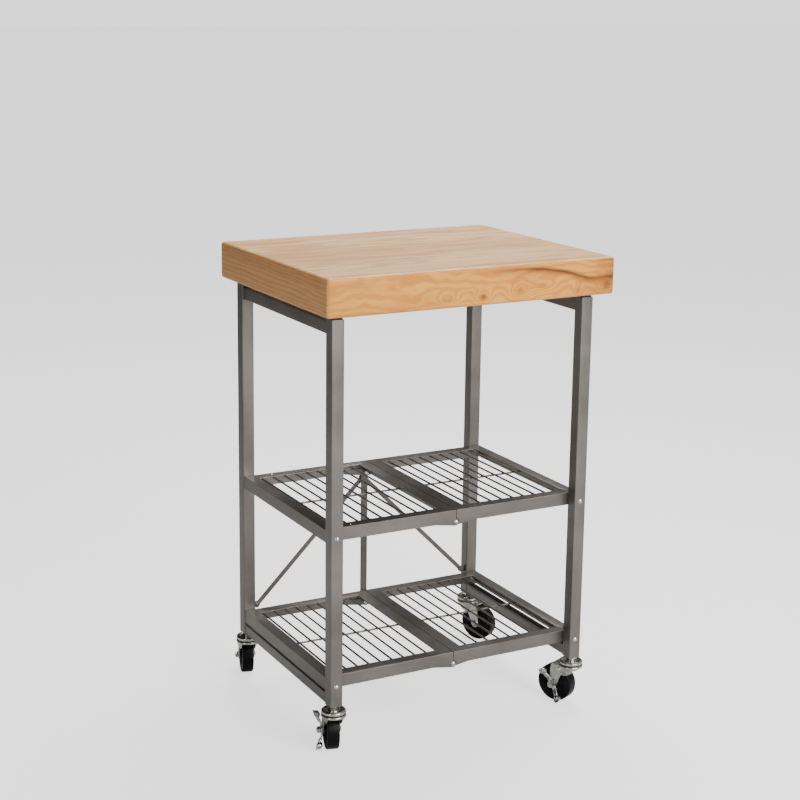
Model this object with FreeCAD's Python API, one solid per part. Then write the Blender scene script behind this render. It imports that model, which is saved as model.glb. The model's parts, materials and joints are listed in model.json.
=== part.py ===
import FreeCAD, Part
import math
import os

# A folding kitchen island cart. Millimetres, Z up from the floor.
# X runs along the long front edge, Y runs from the front to the back.
# Until the last step X = 0 is the left legs' outer face and Y = 0 the front legs' front face.

# Whole cart, from the floor to the top of the block
cartHeight = 914.5

# Side frames
legSize = 25.4
legWall = 1.6
legCorner = 2.2
frameWidth = 560.0
frameDepth = 432.0
topRailHeight = 25.4
topRailWidth = 18.0
topRailDrop = 4.5
topRailInset = 3.6
lowRailHeight = 22.0
lowRailWidth = 22.0
lowRailInset = 2.0
railWall = 1.5
padSize = 20.0
padThick = 2.0

# Worktop
slabThick = 73.0
slabLeft = 9.0
slabRight = 47.5
slabFront = 0.5
slabBack = 61.5
slabEdge = 4.0
slabGap = 0.3

# Folding shelves
shelfOverRail = 5.0
shelfRise = 290.0
rimHeight = 25.0
rimWall = 2.0
flangeWidth = 24.0
centreFlange = 27.0
shelfInset = 1.5
shelfGap = 0.6
foldGap = 0.8
rodRadius = 2.0
rodPitch = 25.1
rodMargin = 16.5
weldGap = 0.05
weldSink = 0.3

# Pivots: leg bolts and the hinge rivets on the fold line
pivotDrop = 12.0
boltRadius = 3.0
boltHead = 5.2
boltHeadTall = 2.8
nutAcross = 10.0
nutTall = 4.0
runFit = 0.06
looseFit = 0.1
hingeDrop = 24.0
hingeHead = 5.0
hingeCollar = 1.5
snugFit = 0.02
earRadius = 6.0
earGap = 0.6
tabReach = 50.0
tabDrop = 8.5
tabThick = 2.0
laneGap = 0.3
tabRise = 8.0
fillerStart = 18.0

# Centre link and the two stays behind the rear rims
linkFront = 4.0
barThick = 3.0
linkWidth = 15.0
stayLaneGap = 2.0
studDrop = 14.5
studRadius = 3.0
stayWidth = 9.0
stayEye = 6.2
lugHeadTall = 1.4
stayFootOut = 7.2
stayFootRise = 5.0
forkRadius = 8.5
forkGap = 0.5
forkFlare = 2.0

# Casters
wheelRadius = 38.0
wheelClear = 2.6
wheelWidth = 24.0
tyreDepth = 11.0
tyreEdge = 4.0
hubFace = 1.5
bossRadius = 9.0
bossOut = 1.2
trail = 31.0
raceRadius = 23.5
raceRim = 7.0
raceDish = 1.6
upperRace = 8.0
upperRaceEdge = 2.6
raceSlit = 1.4
crownThick = 3.0
lowerRace = 5.5
lowerRaceEdge = 2.4
lowerRaceOver = 0.6
nutUnder = 7.0
stemRadius = 5.0
stemRise = 24.0
stemNut = 15.5
ballRing = 16.0
ballCount = 12
forkPlate = 2.4
forkGapSide = 1.0
forkFoot = 9.0
cheekFront = 12.0
cheekBack = 3.0
cheekBelly = 3.0
cheekStep = 1.0
cheekFall = 7.0
cheekNeck = 18.0
cheekRise = 21.0
crownBack = 4.0
crownEdge = 1.2
axleRadius = 4.0
axleNut = 5.5
axleNutAcross = 12.0
axleTip = 1.5
axleHead = 7.0
axleHeadTall = 3.5
leverGap = 0.9
leverThick = 2.2
leverPad = 7.5
leverWaist = 8.0
leverFlare = 13.0
leverBend = 13.0
leverSink = 3.5
leverTilt = 55.0
plugShort = 2.5
# Where each caster points: degrees turned from +Y towards +X
casterTurn = {"front_left": 17.0, "front_right": -24.0, "rear_left": 16.0, "rear_right": 155.0}

midX = frameWidth / 2
legBottom = 2 * wheelRadius + wheelClear + lowerRace + raceSlit + upperRace + nutUnder
slabBottom = cartHeight - slabThick
legTop = slabBottom - slabGap - padThick
lowShelfTop = legBottom + lowRailHeight + shelfOverRail + rimHeight
midShelfTop = lowShelfTop + shelfRise
stayFootZ = lowShelfTop + stayFootRise
leverReach = wheelRadius
firstRod = centreFlange + rodMargin + rodRadius
rodCount = 1 + int((midX - shelfInset - flangeWidth - firstRod) / rodPitch)
shelfFront = legSize + shelfGap
shelfRear = frameDepth - legSize - shelfGap
hingeInner = rimWall + 2 * tabThick + laneGap + earGap / 2
stemX = {"left": legSize / 2, "right": frameWidth - legSize / 2}
stemY = {"front": legSize / 2, "rear": frameDepth - legSize / 2}
raceTop = legBottom - nutUnder
raceBottom = raceTop - upperRace
crownTop = raceBottom - raceSlit
plateIn = wheelWidth / 2 + bossOut + forkGapSide
plateOut = plateIn + forkPlate


def box(x0, x1, y0, y1, z0, z1):
    return Part.makeBox(x1 - x0, y1 - y0, z1 - z0, FreeCAD.Vector(x0, y0, z0))


def rod(radius, start, along, length):
    return Part.makeCylinder(radius, length, FreeCAD.Vector(*start), FreeCAD.Vector(*along))


def plate(points, y0, y1):
    """A flat outline in X and Z, given a thickness along Y."""
    corners = [FreeCAD.Vector(x, y0, z) for x, z in points]
    face = Part.Face(Part.makePolygon(corners + corners[:1]))
    return face.extrude(FreeCAD.Vector(0, y1 - y0, 0))


def hexBar(across, start, along, length):
    radius = across / math.sqrt(3)
    corners = []
    for index in range(7):
        angle = math.radians(60 * index)
        corners.append(FreeCAD.Vector(radius * math.cos(angle), radius * math.sin(angle), 0))
    prism = Part.Face(Part.makePolygon(corners)).extrude(FreeCAD.Vector(0, 0, length))
    turn = FreeCAD.Rotation(FreeCAD.Vector(0, 0, 1), FreeCAD.Vector(*along))
    prism.Placement = FreeCAD.Placement(FreeCAD.Vector(*start), turn)
    return prism


def dome(radius, tall, centre, along):
    """A low round head standing on a face, its flat side at the centre given."""
    ball = (radius * radius + tall * tall) / (2 * tall)
    middle = FreeCAD.Vector(*along).multiply(tall - ball) + FreeCAD.Vector(*centre)
    sphere = Part.makeSphere(ball, middle)
    return sphere.common(rod(radius, centre, along, tall + 0.01))


def roundEdges(shape, radius, along):
    """Round the edges that run along one axis, 0 for X, 1 for Y or 2 for Z."""
    picked = []
    for edge in shape.Edges:
        ends = [vertex.Point for vertex in edge.Vertexes]
        if len(ends) == 2:
            step = ends[1] - ends[0]
            others = [abs(step[axis]) for axis in range(3) if axis != along]
            if max(others) < 1e-6:
                picked.append(edge)
    return shape.makeFillet(radius, picked)


def tube(bounds, wall, corner, along):
    x0, x1, y0, y1, z0, z1 = bounds
    outer = roundEdges(box(*bounds), corner, along)
    inset = [wall, -wall] * 3
    inset[2 * along] = -1
    inset[2 * along + 1] = 1
    inner = box(*[value + step for value, step in zip(bounds, inset)])
    return outer.cut(inner)


def ySide(end):
    return (1, 0.0) if end == "front" else (-1, frameDepth)


def makeLeg(side, end):
    x0 = stemX[side] - legSize / 2
    y0 = stemY[end] - legSize / 2
    leg = tube((x0, x0 + legSize, y0, y0 + legSize, legBottom, legTop), legWall, legCorner, 2)
    cap = box(x0 + legWall, x0 + legSize - legWall, y0 + legWall, y0 + legSize - legWall,
              legTop - legWall, legTop)
    leg = leg.fuse(cap)
    for top in (lowShelfTop, midShelfTop):
        leg = leg.cut(rod(boltRadius + looseFit, (stemX[side], y0 - 1, top - pivotDrop), (0, 1, 0),
                          legSize + 2))
    return leg.removeSplitter()


def makeTopRail(side):
    top = legTop - topRailDrop
    outer = topRailInset if side == "left" else frameWidth - topRailInset - topRailWidth
    return tube((outer, outer + topRailWidth, legSize, frameDepth - legSize, top - topRailHeight, top),
                railWall, legCorner, 1)


def makeLowRail(side):
    outer = lowRailInset if side == "left" else frameWidth - lowRailInset - lowRailWidth
    return tube((outer, outer + lowRailWidth, legSize, frameDepth - legSize, legBottom,
                 legBottom + lowRailHeight), railWall, legCorner, 1)


def makePads(side):
    pads = []
    for end in ("front", "rear"):
        x, y, half = stemX[side], stemY[end], padSize / 2
        pads.append(box(x - half, x + half, y - half, y + half, legTop, legTop + padThick))
    return Part.makeCompound(pads)


def pivotBolt(side, end, top):
    """Dome head outside the leg, shank through the leg and the rim, nut inside the rim."""
    way, face = ySide(end)
    x, z = stemX[side], top - pivotDrop
    nutStart = shelfFront + rimWall + earGap
    head = dome(boltHead, boltHeadTall, (x, face, z), (0, -way, 0))
    shank = rod(boltRadius, (x, face, z), (0, way, 0), nutStart + nutTall + 1)
    nut = hexBar(nutAcross, (x, face + way * nutStart, z), (0, way, 0), nutTall)
    return head.fuse([shank, nut]).removeSplitter()


def makePivotBolts(side):
    bolts = [pivotBolt(side, end, top) for end in ("front", "rear") for top in (lowShelfTop, midShelfTop)]
    return Part.makeCompound(bolts)


def makeSlab():
    slab = box(-slabLeft, frameWidth + slabRight, -slabFront, frameDepth + slabBack, slabBottom,
               slabBottom + slabThick)
    return slab.makeFillet(slabEdge, slab.Edges)


def lane(end, near, far):
    """Y limits of a layer counted inwards from a rim's outer face."""
    if end == "front":
        return shelfFront + near, shelfFront + far
    return shelfRear - far, shelfRear - near


def hingeTab(side, end, hingeZ):
    """The three-cornered hinge plate behind a rim, at the fold line."""
    way = -1 if side == "left" else 1
    near = rimWall if side == "left" else rimWall + tabThick + laneGap
    y0, y1 = lane(end, near, near + tabThick)
    bottom = hingeDrop - rimHeight
    points = [(way * tabReach, tabRise), (way * tabReach, bottom), (way * 2.0, -tabDrop), (way * 2.0, tabRise)]
    tab = plate([(midX + x, hingeZ + z) for x, z in points], y0, y1)
    tab = tab.fuse(rod(tabDrop, (midX, y0, hingeZ), (0, 1, 0), y1 - y0))
    if side == "right":
        f0, f1 = lane(end, rimWall, near)
        tab = tab.fuse(box(midX + fillerStart, midX + tabReach, f0, f1, hingeZ + bottom, hingeZ + tabRise))
    return tab


def makeShelfFrame(side, top):
    """Half a shelf's rim: four webs, a flat flange on top, and the hinge tabs on the fold line."""
    left = side == "left"
    x0 = shelfInset if left else midX + foldGap / 2
    x1 = midX - foldGap / 2 if left else frameWidth - shelfInset
    wallLeft, wallRight = (flangeWidth, centreFlange) if left else (centreFlange, flangeWidth)
    bottom = top - rimHeight
    hingeZ = top - hingeDrop
    frame = box(x0, x1, shelfFront, shelfRear, bottom, top)
    frame = frame.cut(box(x0 + rimWall, x1 - rimWall, shelfFront + rimWall, shelfRear - rimWall,
                          bottom - 1, top - rimWall))
    frame = frame.cut(box(x0 + wallLeft, x1 - wallRight, shelfFront + flangeWidth,
                          shelfRear - flangeWidth, bottom, top + 1))
    # The centre web stops above the fold line, so that the two halves can close
    frame = frame.cut(box(midX - centreFlange, midX + centreFlange, shelfFront + rimWall, shelfRear - rimWall,
                          bottom - 1, hingeZ + earGap))
    tabLayer = 2 * tabThick + laneGap
    clearance = tabDrop + 3 * earGap
    for end in ("front", "rear"):
        y0, y1 = lane(end, rimWall, hingeInner + hingeCollar + earGap)
        frame = frame.cut(box(midX - clearance, midX + clearance, y0, y1, bottom - 1, hingeZ + clearance))
        y0, y1 = lane(end, 0, rimWall)
        if left:
            frame = frame.fuse(rod(earRadius, (midX, y0, hingeZ), (0, 1, 0), rimWall))
        else:
            frame = frame.cut(rod(earRadius + earGap, (midX, y0, hingeZ), (0, 1, 0), rimWall))
        frame = frame.fuse(hingeTab(side, end, hingeZ))
        hole = snugFit if left else runFit
        y0, y1 = lane(end, -1, tabLayer + 2 * rimWall)
        frame = frame.cut(rod(boltRadius + hole, (midX, y0, hingeZ), (0, 1, 0), y1 - y0))
        fit = runFit if top == midShelfTop or left else looseFit
        y0, y1 = lane(end, -1, rimWall + 1)
        frame = frame.cut(rod(boltRadius + fit, (stemX[side], y0, top - pivotDrop), (0, 1, 0), y1 - y0))
    return frame.removeSplitter()


def makeRods(side, top):
    """Round rods from the front rim to the rear rim, on one cross wire."""
    left = side == "left"
    way = -1 if left else 1
    z = top - rimWall - rodRadius - weldGap
    y0 = shelfFront + rimWall + weldGap
    length = shelfRear - rimWall - weldGap - y0
    rods = [rod(rodRadius, (midX + way * (firstRod + rodPitch * index), y0, z), (0, 1, 0), length)
            for index in range(rodCount)]
    x0 = shelfInset + rimWall + weldGap
    wireLength = midX - foldGap / 2 - rimWall - weldGap - x0
    start = x0 if left else frameWidth - x0 - wireLength
    wire = rod(rodRadius, (start, frameDepth / 2, z - 2 * rodRadius + weldSink), (1, 0, 0), wireLength)
    return wire.fuse(rods).removeSplitter()


def makeHingeRivets(top):
    """Front rivet with two heads. The rear one goes on through the centre link."""
    z = top - hingeDrop
    deep = hingeInner + hingeCollar
    front = dome(hingeHead, boltHeadTall, (midX, shelfFront, z), (0, -1, 0))
    front = front.fuse(rod(boltRadius, (midX, shelfFront, z), (0, 1, 0), deep))
    front = front.fuse(rod(hingeHead, (midX, shelfFront + hingeInner, z), (0, 1, 0), hingeCollar))
    linkBack = linkFront + barThick + earGap / 2
    rear = rod(boltRadius, (midX, shelfRear - deep, z), (0, 1, 0), deep + linkBack + 1)
    rear = rear.fuse(rod(hingeHead, (midX, shelfRear - deep, z), (0, 1, 0), hingeCollar))
    rear = rear.fuse(rod(hingeHead, (midX, shelfRear, z), (0, 1, 0), linkFront - earGap))
    rear = rear.fuse(dome(hingeHead, boltHeadTall, (midX, shelfRear + linkBack, z), (0, 1, 0)))
    return Part.makeCompound([front.removeSplitter(), rear.removeSplitter()])


def barLane(index):
    y0 = shelfRear + linkFront + index * (barThick + stayLaneGap)
    return y0, y0 + barThick


def makeLink():
    """The upright flat bar that keeps both shelves' fold lines together."""
    y0, y1 = barLane(0)
    half = linkWidth / 2
    topZ, lowZ = midShelfTop - hingeDrop, lowShelfTop - hingeDrop
    link = box(midX - half, midX + half, y0, y1, lowZ, topZ)
    for z in (topZ, lowZ):
        link = link.fuse(rod(half, (midX, y0, z), (0, 1, 0), barThick))
    for z, fit in ((topZ, runFit), (lowZ, looseFit)):
        link = link.cut(rod(boltRadius + fit, (midX, y0 - 1, z), (0, 1, 0), barThick + 2))
    return link.removeSplitter()


def makeLinkStud():
    """The stud behind the link that both stays prop."""
    y0 = barLane(0)[1]
    y1 = barLane(2)[1] + stayLaneGap / 2
    z = midShelfTop - hingeDrop - studDrop
    stud = rod(studRadius, (midX, y0, z), (0, 1, 0), y1 - y0)
    return stud.fuse(dome(hingeHead, boltHeadTall, (midX, y1, z), (0, 1, 0))).removeSplitter()


def makeStay(side):
    """A flat bar from an eye on the leg's lug to an open fork under the stud."""
    way = 1 if side == "left" else -1
    y0, y1 = barLane(1 if side == "left" else 2)
    footX = legSize + stayFootOut if side == "left" else frameWidth - legSize - stayFootOut
    rise = midShelfTop - hingeDrop - studDrop - stayFootZ
    run = way * (midX - footX)
    length = math.hypot(run, rise)
    half = stayWidth / 2
    bar = box(0, length, y0, y1, -half, half)
    bar = bar.fuse(rod(stayEye, (0, y0, 0), (0, 1, 0), barThick))
    bar = bar.fuse(rod(forkRadius, (length, y0, 0), (0, 1, 0), barThick))
    slot = studRadius + forkGap
    mouth = forkRadius + 1
    bar = bar.cut(rod(slot, (length, y0 - 1, 0), (0, 1, 0), barThick + 2))
    bar = bar.cut(plate([(length, -slot), (length + mouth, -slot - forkFlare),
                         (length + mouth, slot + forkFlare), (length, slot)], y0 - 1, y1 + 1))
    bar = bar.cut(rod(boltRadius + runFit, (0, y0 - 1, 0), (0, 1, 0), barThick + 2)).removeSplitter()
    bar.rotate(FreeCAD.Vector(0, 0, 0), FreeCAD.Vector(0, -1, 0), math.degrees(math.atan2(rise, run)))
    if side == "right":
        bar = bar.mirror(FreeCAD.Vector(0, 0, 0), FreeCAD.Vector(1, 0, 0))
    bar.translate(FreeCAD.Vector(footX, 0, stayFootZ))
    return bar


def makeStayLug(side):
    """A lug on the rear leg's inner face with the stay's pin through it."""
    left = side == "left"
    way = 1 if left else -1
    face = legSize if left else frameWidth - legSize
    footX = face + way * stayFootOut
    y0, y1 = barLane(1 if left else 2)
    if left:
        l0, l1 = y1 + earGap, y1 + earGap + barThick
    else:
        l0, l1 = y0 - earGap - barThick, y0 - earGap
    lug = box(min(face, footX), max(face, footX), l0, l1, stayFootZ - stayEye, stayFootZ + stayEye)
    lug = lug.fuse(rod(stayEye, (footX, l0, stayFootZ), (0, 1, 0), barThick))
    p0, p1 = min(l0, y0 - earGap), max(l1, y1 + earGap)
    lug = lug.fuse(rod(boltRadius, (footX, p0, stayFootZ), (0, 1, 0), p1 - p0))
    end, out = (p0, -1) if left else (p1, 1)
    lug = lug.fuse(dome(hingeHead, lugHeadTall, (footX, end, stayFootZ), (0, out, 0)))
    return lug.removeSplitter()


def makeCasterSeats(side):
    """Threaded stem, nut and fixed upper race under each leg."""
    seats = []
    for end in ("front", "rear"):
        x, y = stemX[side], stemY[end]
        race = rod(raceRadius, (x, y, raceBottom), (0, 0, 1), upperRace)
        rims = [edge for edge in race.Edges if edge.Closed]
        race = race.makeFillet(upperRaceEdge, rims)
        groove = rod(raceRadius - raceRim, (x, y, raceTop - raceDish), (0, 0, 1), 2 * raceDish)
        stem = rod(stemRadius, (x, y, raceBottom), (0, 0, 1), legBottom + stemRise - raceBottom)
        nut = hexBar(stemNut, (x, y, raceTop - raceDish), (0, 0, 1), nutUnder + raceDish - weldGap)
        seats.append(race.cut(groove).fuse([stem, nut]).removeSplitter())
    return Part.makeCompound(seats)


def makePlugs(side):
    """Plastic plugs that hold the stems inside the legs."""
    plugs = []
    half = legSize / 2 - legWall - weldGap
    for end in ("front", "rear"):
        x, y = stemX[side], stemY[end]
        plug = box(x - half, x + half, y - half, y + half, legBottom, legBottom + stemRise - plugShort)
        plugs.append(plug.cut(rod(stemRadius + weldGap, (x, y, legBottom - 1), (0, 0, 1), stemRise + 2)))
    return Part.makeCompound(plugs)


def casterPlace(shape, place):
    """Turn a piece built with its trail along +Y and put it under its leg."""
    end, side = place.split("_")
    shape.rotate(FreeCAD.Vector(0, 0, 0), FreeCAD.Vector(0, 0, 1), -casterTurn[place])
    shape.translate(FreeCAD.Vector(stemX[side], stemY[end], 0))
    return shape


def makeBalls(place):
    z = raceBottom - raceSlit / 2
    balls = []
    for index in range(ballCount):
        angle = 2 * math.pi * index / ballCount
        ball = Part.makeSphere(raceSlit / 2 - weldGap / 2,
                               FreeCAD.Vector(ballRing * math.cos(angle), ballRing * math.sin(angle), z))
        balls.append(ball)
    return casterPlace(Part.makeCompound(balls), place)


def sidePlate(inner, outer):
    """One fork cheek, between two distances from the wheel's middle."""
    top = crownTop - lowerRace + crownThick
    back = trail + cheekBack
    points = [(-cheekFront, top - cheekStep), (back, top - cheekStep), (back + cheekBelly, top - cheekFall),
              (trail + forkFoot, wheelRadius), (trail - forkFoot, wheelRadius),
              (trail - cheekNeck, wheelRadius + cheekRise)]
    corners = [FreeCAD.Vector(inner, y, z) for y, z in points]
    cheek = Part.Face(Part.makePolygon(corners + corners[:1])).extrude(FreeCAD.Vector(outer - inner, 0, 0))
    return cheek.fuse(rod(forkFoot, (inner, trail, wheelRadius), (1, 0, 0), outer - inner))


def makeFork(place):
    """Swivel race, crown and two cheeks, bored for the axle."""
    race = rod(raceRadius + lowerRaceOver, (0, 0, crownTop - lowerRace), (0, 0, 1), lowerRace)
    race = race.makeFillet(lowerRaceEdge, [edge for edge in race.Edges if edge.Closed])
    crown = box(-plateOut, plateOut, 0, trail + crownBack, crownTop - lowerRace, crownTop - lowerRace + crownThick)
    crown = roundEdges(crown, crownEdge, 1)
    fork = race.fuse([crown, sidePlate(plateIn, plateOut), sidePlate(-plateOut, -plateIn)])
    fork = fork.cut(rod(axleRadius + snugFit, (-plateOut - 1, trail, wheelRadius), (1, 0, 0),
                        2 * plateOut + 2))
    return casterPlace(fork.removeSplitter(), place)


def makeTyre(place):
    ring = rod(wheelRadius, (-wheelWidth / 2, trail, wheelRadius), (1, 0, 0), wheelWidth)
    ring = ring.makeFillet(tyreEdge, [edge for edge in ring.Edges if edge.Closed])
    core = rod(wheelRadius - tyreDepth, (-wheelWidth / 2 - 1, trail, wheelRadius), (1, 0, 0), wheelWidth + 2)
    return casterPlace(ring.cut(core), place)


def makeHub(place):
    half = wheelWidth / 2 - hubFace
    hub = rod(wheelRadius - tyreDepth - weldGap, (-half, trail, wheelRadius), (1, 0, 0), 2 * half)
    reach = wheelWidth / 2 + bossOut
    hub = hub.fuse(rod(bossRadius, (-reach, trail, wheelRadius), (1, 0, 0), 2 * reach))
    hub = hub.cut(rod(axleRadius + runFit, (-reach - 1, trail, wheelRadius), (1, 0, 0), 2 * reach + 2))
    return casterPlace(hub.removeSplitter(), place)


def makeAxle(place):
    """Bolt head on the right cheek and nut on the left, outside the lever where there is one."""
    braked = place.startswith("front")
    left = plateOut + (leverGap + leverThick + leverGap if braked else weldGap)
    tip = left + axleNut + axleTip
    axle = rod(axleRadius, (-tip, trail, wheelRadius), (1, 0, 0), tip + plateOut + weldGap)
    nut = hexBar(axleNutAcross, (-left - axleNut, trail, wheelRadius), (1, 0, 0), axleNut)
    head = dome(axleHead, axleHeadTall, (plateOut + weldGap, trail, wheelRadius), (1, 0, 0))
    return casterPlace(axle.fuse([nut, head]).removeSplitter(), place)


def makeLever(place):
    """A rocker on the axle: flat at the middle, both ends bent outwards into foot pads."""
    inner = plateOut + leverGap
    flare = leverFlare
    line = [(-leverReach, inner + flare), (-leverBend, inner), (leverBend, inner), (leverReach, inner + flare)]
    outline = line + [(s, n + leverThick) for s, n in reversed(line)]
    width = leverPad
    corners = [FreeCAD.Vector(-n, s, -width) for s, n in outline]
    strip = Part.Face(Part.makePolygon(corners + corners[:1])).extrude(FreeCAD.Vector(0, 0, 2 * width))
    deep = inner + flare + leverThick + 1
    centre = leverReach - leverPad
    plan = rod(leverWaist, (-deep, 0, 0), (1, 0, 0), deep)
    for way in (-1, 1):
        plan = plan.fuse(rod(leverPad, (-deep, way * centre, 0), (1, 0, 0), deep))
        plan = plan.fuse(box(-deep, 0, min(0, way * centre), max(0, way * centre), -leverWaist + leverSink,
                             leverWaist - leverSink))
    lever = strip.common(plan)
    lever = lever.cut(rod(axleRadius + runFit, (-deep, 0, 0), (1, 0, 0), deep))
    lever.rotate(FreeCAD.Vector(0, 0, 0), FreeCAD.Vector(1, 0, 0), leverTilt)
    lever.translate(FreeCAD.Vector(0, trail, wheelRadius))
    return casterPlace(lever.removeSplitter(), place)


def buildAll():
    shapes = {"worktop": makeSlab()}
    for side in ("left", "right"):
        for end in ("front", "rear"):
            shapes["leg_%s_%s" % (end, side)] = makeLeg(side, end)
        shapes["top_rail_" + side] = makeTopRail(side)
        shapes["low_rail_" + side] = makeLowRail(side)
        shapes["top_pads_" + side] = makePads(side)
        shapes["pivot_bolts_" + side] = makePivotBolts(side)
        shapes["caster_seats_" + side] = makeCasterSeats(side)
        shapes["leg_plugs_" + side] = makePlugs(side)
        shapes["stay_lug_" + side] = makeStayLug(side)
        shapes["stay_" + side] = makeStay(side)
        for name, top in (("mid", midShelfTop), ("low", lowShelfTop)):
            shapes["%s_frame_%s" % (name, side)] = makeShelfFrame(side, top)
            shapes["%s_rods_%s" % (name, side)] = makeRods(side, top)
    shapes["mid_hinge_rivets"] = makeHingeRivets(midShelfTop)
    shapes["low_hinge_rivets"] = makeHingeRivets(lowShelfTop)
    shapes["centre_link"] = makeLink()
    shapes["link_stud"] = makeLinkStud()
    for place in casterTurn:
        shapes["fork_" + place] = makeFork(place)
        shapes["balls_" + place] = makeBalls(place)
        shapes["tyre_" + place] = makeTyre(place)
        shapes["hub_" + place] = makeHub(place)
        shapes["axle_" + place] = makeAxle(place)
        if place.startswith("front"):
            shapes["lever_" + place] = makeLever(place)
    return shapes


def writeAll(shapes):
    """Centre the whole cart over the origin and write one file for each piece."""
    os.makedirs("parts", exist_ok=True)
    whole = FreeCAD.BoundBox()
    for shape in shapes.values():
        whole.add(shape.optimalBoundingBox())
    shift = FreeCAD.Vector(-whole.Center.x, -whole.Center.y, 0)
    for name, shape in shapes.items():
        shape.translate(shift)
        shape.exportStep("parts/%s.step" % name)
    print("pieces", len(shapes), "shift", shift, "box", whole)


writeAll(buildAll())
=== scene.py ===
import json
import math

import bmesh
import bpy
from mathutils import Matrix, Vector

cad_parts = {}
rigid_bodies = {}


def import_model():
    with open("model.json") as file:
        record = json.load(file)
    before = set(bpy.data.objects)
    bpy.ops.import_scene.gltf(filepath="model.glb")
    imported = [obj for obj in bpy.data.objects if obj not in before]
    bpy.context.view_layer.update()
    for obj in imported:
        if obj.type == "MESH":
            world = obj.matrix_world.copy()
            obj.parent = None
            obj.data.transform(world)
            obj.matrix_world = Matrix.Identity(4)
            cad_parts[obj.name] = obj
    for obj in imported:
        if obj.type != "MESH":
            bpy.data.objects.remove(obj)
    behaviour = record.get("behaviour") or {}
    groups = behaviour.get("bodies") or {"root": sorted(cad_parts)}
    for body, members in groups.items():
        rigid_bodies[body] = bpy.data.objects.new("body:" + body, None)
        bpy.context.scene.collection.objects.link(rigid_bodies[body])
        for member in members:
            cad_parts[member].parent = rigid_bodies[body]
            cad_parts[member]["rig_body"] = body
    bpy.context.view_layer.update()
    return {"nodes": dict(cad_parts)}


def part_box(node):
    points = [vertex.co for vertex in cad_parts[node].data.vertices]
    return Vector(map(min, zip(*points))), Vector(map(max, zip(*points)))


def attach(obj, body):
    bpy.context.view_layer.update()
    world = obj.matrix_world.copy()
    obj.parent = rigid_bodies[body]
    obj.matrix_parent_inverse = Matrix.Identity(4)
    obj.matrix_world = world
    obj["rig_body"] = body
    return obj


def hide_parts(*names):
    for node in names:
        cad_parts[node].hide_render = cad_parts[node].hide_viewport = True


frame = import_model()

sides = ("left", "right")
ends = ("front", "rear")
places = ("front_left", "front_right", "rear_left", "rear_right")
mm = 0.001


def middle(node):
    low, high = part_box(node)
    return (low + high) / 2


# Adds a node; a socket's value may be a number, a colour or another node's output
def addNode(tree, kind, sockets=None, **settings):
    made = tree.nodes.new(kind)
    for name, value in settings.items():
        setattr(made, name, value)
    for name, value in (sockets or {}).items():
        fill(tree, made.inputs[name], value)
    return made


def fill(tree, socket, value):
    if isinstance(value, bpy.types.NodeSocket):
        tree.links.new(value, socket)
    elif value is not None:
        socket.default_value = value


def calc(tree, operation, *terms):
    made = addNode(tree, "ShaderNodeMath", operation=operation)
    for index, term in enumerate(terms):
        fill(tree, made.inputs[index], term)
    return made.outputs[0]


def tint(tree, factor, first, second):
    made = addNode(tree, "ShaderNodeMix", data_type="RGBA", blend_type="MIX")
    for index, value in ((0, factor), (6, first), (7, second)):
        fill(tree, made.inputs[index], value)
    return made.outputs[2]


def span(tree, value, low, high, newLow=0.0, newHigh=1.0, style="LINEAR"):
    made = addNode(tree, "ShaderNodeMapRange", interpolation_type=style, clamp=True)
    for index, term in enumerate((value, low, high, newLow, newHigh)):
        fill(tree, made.inputs[index], term)
    return made.outputs[0]


# Lays one colour over another where a mask is bright, up to a share
def lay(tree, mask, share, under, over):
    return tint(tree, calc(tree, "MULTIPLY", mask, share), under, over)


def vectorCalc(tree, operation, *terms, output="Vector"):
    made = addNode(tree, "ShaderNodeVectorMath", operation=operation)
    for index, term in enumerate(terms):
        fill(tree, made.inputs[index], term)
    return made.outputs[output]


def vector(tree, x, y, z):
    return addNode(tree, "ShaderNodeCombineXYZ", {0: x, 1: y, 2: z}).outputs[0]


def stretched(tree, start, scale):
    return addNode(tree, "ShaderNodeMapping", {"Vector": start, "Scale": scale}).outputs[0]


def noise(tree, start, scale, detail, roughness, distortion=0.0):
    sockets = {"Vector": start, "Scale": scale, "Detail": detail, "Roughness": roughness,
               "Distortion": distortion}
    return addNode(tree, "ShaderNodeTexNoise", sockets).outputs[0]


def addInputs(tree, inputs):
    for label, kind, value in inputs:
        socket = tree.interface.new_socket(label, in_out="INPUT", socket_type=kind)
        if value is not None:
            socket.default_value = value


def startGroup(name, inputs, outputs):
    group = bpy.data.node_groups.new(name, "ShaderNodeTree")
    addInputs(group, inputs)
    for label, kind in outputs:
        group.interface.new_socket(label, in_out="OUTPUT", socket_type=kind)
    return group, group.nodes.new("NodeGroupInput").outputs, group.nodes.new("NodeGroupOutput").inputs


def useGroup(tree, group, sockets):
    made = tree.nodes.new("ShaderNodeGroup")
    made.node_tree = group
    for name, value in sockets.items():
        fill(tree, made.inputs[name], value)
    return made.outputs


# Fine parallel scratches along one direction, and their height
def makeDrawnGrain():
    group, given, out = startGroup(
        "drawnGrain",
        [("Vector", "NodeSocketVector", None), ("Stretch", "NodeSocketVector", (1.0, 1.0, 1.0)),
         ("Fineness", "NodeSocketFloat", 900.0)],
        [("Tone", "NodeSocketFloat"), ("Height", "NodeSocketFloat")])
    scaled = vectorCalc(group, "MULTIPLY", given["Vector"], given["Stretch"])
    fine = noise(group, scaled, given["Fineness"], 4.0, 0.6)
    broad = noise(group, scaled, calc(group, "MULTIPLY", given["Fineness"], 0.17), 3.0, 0.5)
    both = calc(group, "ADD", calc(group, "MULTIPLY", fine, 0.6), calc(group, "MULTIPLY", broad, 0.4))
    fill(group, out["Tone"], span(group, both, 0.3, 0.7))
    fill(group, out["Height"], fine)
    return group


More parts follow.
